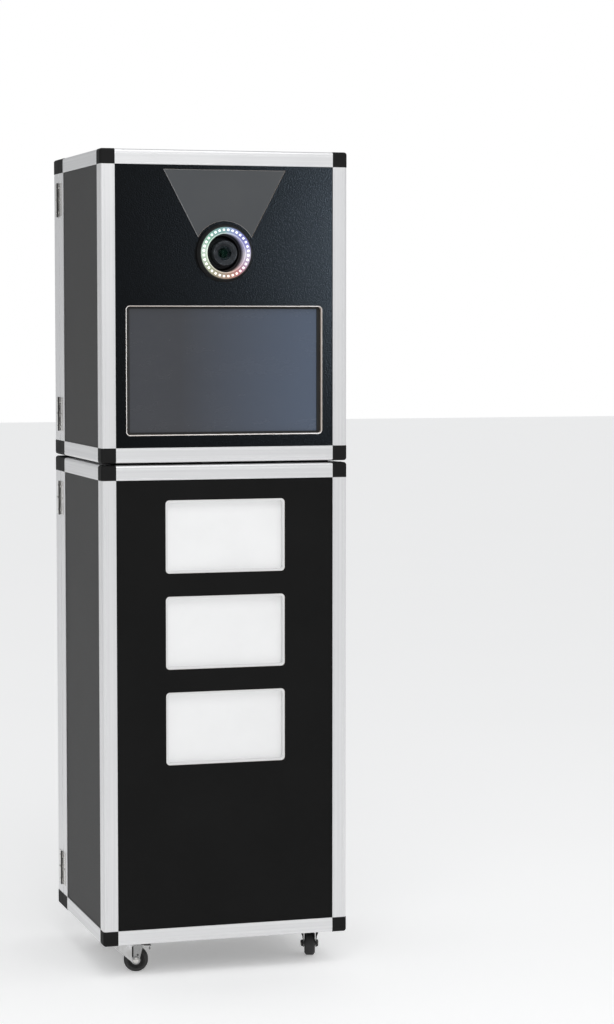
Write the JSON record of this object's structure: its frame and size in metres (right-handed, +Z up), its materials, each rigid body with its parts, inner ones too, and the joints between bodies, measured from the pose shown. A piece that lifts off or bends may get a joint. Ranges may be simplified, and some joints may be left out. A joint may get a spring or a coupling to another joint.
{
  "type": "photo booth",
  "caption": "Two-part flight-case photo booth tower with camera port, ring light, smoked flash window, touch screen, lit niches, rear doors and swivel casters.",
  "frame": {"origin": "on the floor under the centre of the case footprint", "axes": "+Z up, front face with lens and screen towards -Y, +X to the right seen from the front"},
  "size_m": [0.5184, 0.4713, 1.6726],
  "materials": {
    "edge_aluminium": "satin anodised extrusion with fine lengthwise die lines",
    "corner_plastic": "black moulded nylon, faintly grained",
    "side_laminate": "plywood with matte charcoal laminate",
    "smooth_front_board": "plywood with smooth matte black laminate",
    "textured_front_board": "plywood with hammered black laminate",
    "white_tray": "white formed sheet",
    "light_panel": "opal light panel",
    "mat_rubber": "black rubber sheet",
    "zinc_steel": "bright zinc-plated steel",
    "wheel_rubber": "dark grey tread",
    "knob_plastic": "black moulded plastic",
    "device_plastic": "dark grey moulded housing",
    "shelf_metal": "grey powder coat",
    "latch_metal": "nickel-plated zinc casting",
    "smoked_acrylic": "smoked acrylic with polished bevel",
    "screen_glass": "touch glass over a dark display",
    "lens_glass": "coated lens glass",
    "circuit_board": "white coated circuit board",
    "led_emitter": "clear light-emitting chips",
    "tunnel_reflector": "pale reflector sleeve"
  },
  "bodies": {
    "lower_case": {"lower_edge_profiles": "edge_aluminium", "lower_corner_caps": "corner_plastic", "lower_side_panels": "side_laminate", "lower_front_panel": "smooth_front_board", "lower_bottom_panel": "side_laminate", "lower_top_panel": "side_laminate", "niche_trays": "white_tray", "niche_light_panels": "light_panel", "stacking_mat": "mat_rubber", "locating_pins": "zinc_steel", "printer_shelf": "shelf_metal", "photo_printer": "device_plastic", "print_outlet": "knob_plastic", "power_inlet": "knob_plastic", "caster_plates": "zinc_steel", "lower_hinge_fixed_leaves": "zinc_steel"},
    "upper_case": {"upper_edge_profiles": "edge_aluminium", "upper_corner_caps": "corner_plastic", "upper_side_panels": "side_laminate", "upper_front_panel": "textured_front_board", "upper_top_panel": "side_laminate", "upper_bottom_panel": "side_laminate", "smoked_window": "smoked_acrylic", "ring_housing": "knob_plastic", "led_board": "circuit_board", "ring_leds": "led_emitter", "lens_tunnel": "tunnel_reflector", "monitor_gasket": "knob_plastic", "touch_glass": "screen_glass", "monitor_chassis": "device_plastic", "flash_lamp": "device_plastic", "camera_bracket": "zinc_steel", "mini_computer": "knob_plastic", "upper_hinge_fixed_leaves": "zinc_steel"},
    "clamp_knob": {"clamp_knob": "knob_plastic"},
    "lower_door": {"lower_door_panel": "side_laminate", "lower_door_frame": "edge_aluminium", "lower_door_caps": "corner_plastic", "lower_hinge_door_leaves": "zinc_steel"},
    "lower_latch": {"lower_latch": "latch_metal"},
    "upper_door": {"upper_door_panel": "side_laminate", "upper_door_frame": "edge_aluminium", "upper_door_caps": "corner_plastic", "upper_hinge_door_leaves": "zinc_steel"},
    "upper_latch": {"upper_latch": "latch_metal"},
    "camera": {"camera_body": "knob_plastic", "lens_barrel": "knob_plastic", "lens_glass": "lens_glass"},
    "zoom_ring": {"zoom_ring": "knob_plastic"},
    "rocker_switch": {"rocker_switch": "knob_plastic"},
    "fork_front_left": {"fork_front_left": "zinc_steel"},
    "wheel_front_left": {"wheel_front_left": "wheel_rubber"},
    "brake_front_left": {"brake_front_left": "zinc_steel"},
    "fork_front_right": {"fork_front_right": "zinc_steel"},
    "wheel_front_right": {"wheel_front_right": "wheel_rubber"},
    "brake_front_right": {"brake_front_right": "zinc_steel"},
    "fork_rear_left": {"fork_rear_left": "zinc_steel"},
    "wheel_rear_left": {"wheel_rear_left": "wheel_rubber"},
    "fork_rear_right": {"fork_rear_right": "zinc_steel"},
    "wheel_rear_right": {"wheel_rear_right": "wheel_rubber"}
  },
  "joints": [
    {"name": "upper_case_lift", "type": "slide", "parent": "lower_case", "child": "upper_case", "axis": [0, 0, 1], "range_m": [0, 0.15]},
    {"name": "clamp_knob_turn", "type": "hinge", "parent": "upper_case", "child": "clamp_knob", "pos_m": [0, 0.118, 1.067], "axis": [0, 0, 1], "continuous": true},
    {"name": "lower_door_swing", "type": "hinge", "parent": "lower_case", "child": "lower_door", "pos_m": [-0.259, 0.1758, 0.556], "axis": [0, 0, 1], "range_deg": [0, 175]},
    {"name": "upper_door_swing", "type": "hinge", "parent": "upper_case", "child": "upper_door", "pos_m": [-0.259, 0.1758, 1.359], "axis": [0, 0, 1], "range_deg": [0, 175]},
    {"name": "lower_latch_turn", "type": "hinge", "parent": "lower_door", "child": "lower_latch", "pos_m": [0.2045, 0.2255, 0.556], "axis": [0, 1, 0], "range_deg": [0, 90]},
    {"name": "upper_latch_turn", "type": "hinge", "parent": "upper_door", "child": "upper_latch", "pos_m": [0.2045, 0.2255, 1.3595], "axis": [0, 1, 0], "range_deg": [0, 90]},
    {"name": "camera_tilt", "type": "hinge", "parent": "upper_case", "child": "camera", "pos_m": [0, -0.11, 1.405], "axis": [1, 0, 0], "range_deg": [-4, 4]},
    {"name": "zoom_turn", "type": "hinge", "parent": "camera", "child": "zoom_ring", "pos_m": [0, -0.169, 1.467], "axis": [0, 1, 0], "range_deg": [-35, 35]},
    {"name": "rocker_switch_tip", "type": "hinge", "parent": "lower_case", "child": "rocker_switch", "pos_m": [0.2505, 0.0855, 0.178], "axis": [0, 1, 0], "range_deg": [-8, 8]},
    {"name": "front_left_swivel", "type": "hinge", "parent": "lower_case", "child": "fork_front_left", "pos_m": [-0.201, -0.1475, 0.06], "axis": [0, 0, 1], "continuous": true},
    {"name": "front_left_roll", "type": "hinge", "parent": "fork_front_left", "child": "wheel_front_left", "pos_m": [-0.17372, -0.1538, 0.025], "axis": [0.225, 0.9744, 0], "continuous": true},
    {"name": "front_left_brake", "type": "hinge", "parent": "fork_front_left", "child": "brake_front_left", "pos_m": [-0.16836, -0.15504, 0.0545], "axis": [0.225, 0.9744, 0], "range_deg": [0, 8]},
    {"name": "front_right_swivel", "type": "hinge", "parent": "lower_case", "child": "fork_front_right", "pos_m": [0.201, -0.1475, 0.06], "axis": [0, 0, 1], "continuous": true},
    {"name": "front_right_roll", "type": "hinge", "parent": "fork_front_right", "child": "wheel_front_right", "pos_m": [0.20919, -0.12072, 0.025], "axis": [-0.9563, 0.2924, 0], "continuous": true},
    {"name": "front_right_brake", "type": "hinge", "parent": "fork_front_right", "child": "brake_front_right", "pos_m": [0.21079, -0.11546, 0.0545], "axis": [-0.9563, 0.2924, 0], "range_deg": [0, 8]},
    {"name": "rear_left_swivel", "type": "hinge", "parent": "lower_case", "child": "fork_rear_left", "pos_m": [-0.201, 0.1085, 0.06], "axis": [0, 0, 1], "continuous": true},
    {"name": "rear_left_roll", "type": "hinge", "parent": "fork_rear_left", "child": "wheel_rear_left", "pos_m": [-0.17372, 0.1022, 0.025], "axis": [0.225, 0.9744, 0], "continuous": true},
    {"name": "rear_right_swivel", "type": "hinge", "parent": "lower_case", "child": "fork_rear_right", "pos_m": [0.201, 0.1085, 0.06], "axis": [0, 0, 1], "continuous": true},
    {"name": "rear_right_roll", "type": "hinge", "parent": "fork_rear_right", "child": "wheel_rear_right", "pos_m": [0.215, 0.13275, 0.025], "axis": [-0.866, 0.5, 0], "continuous": true}
  ]
}
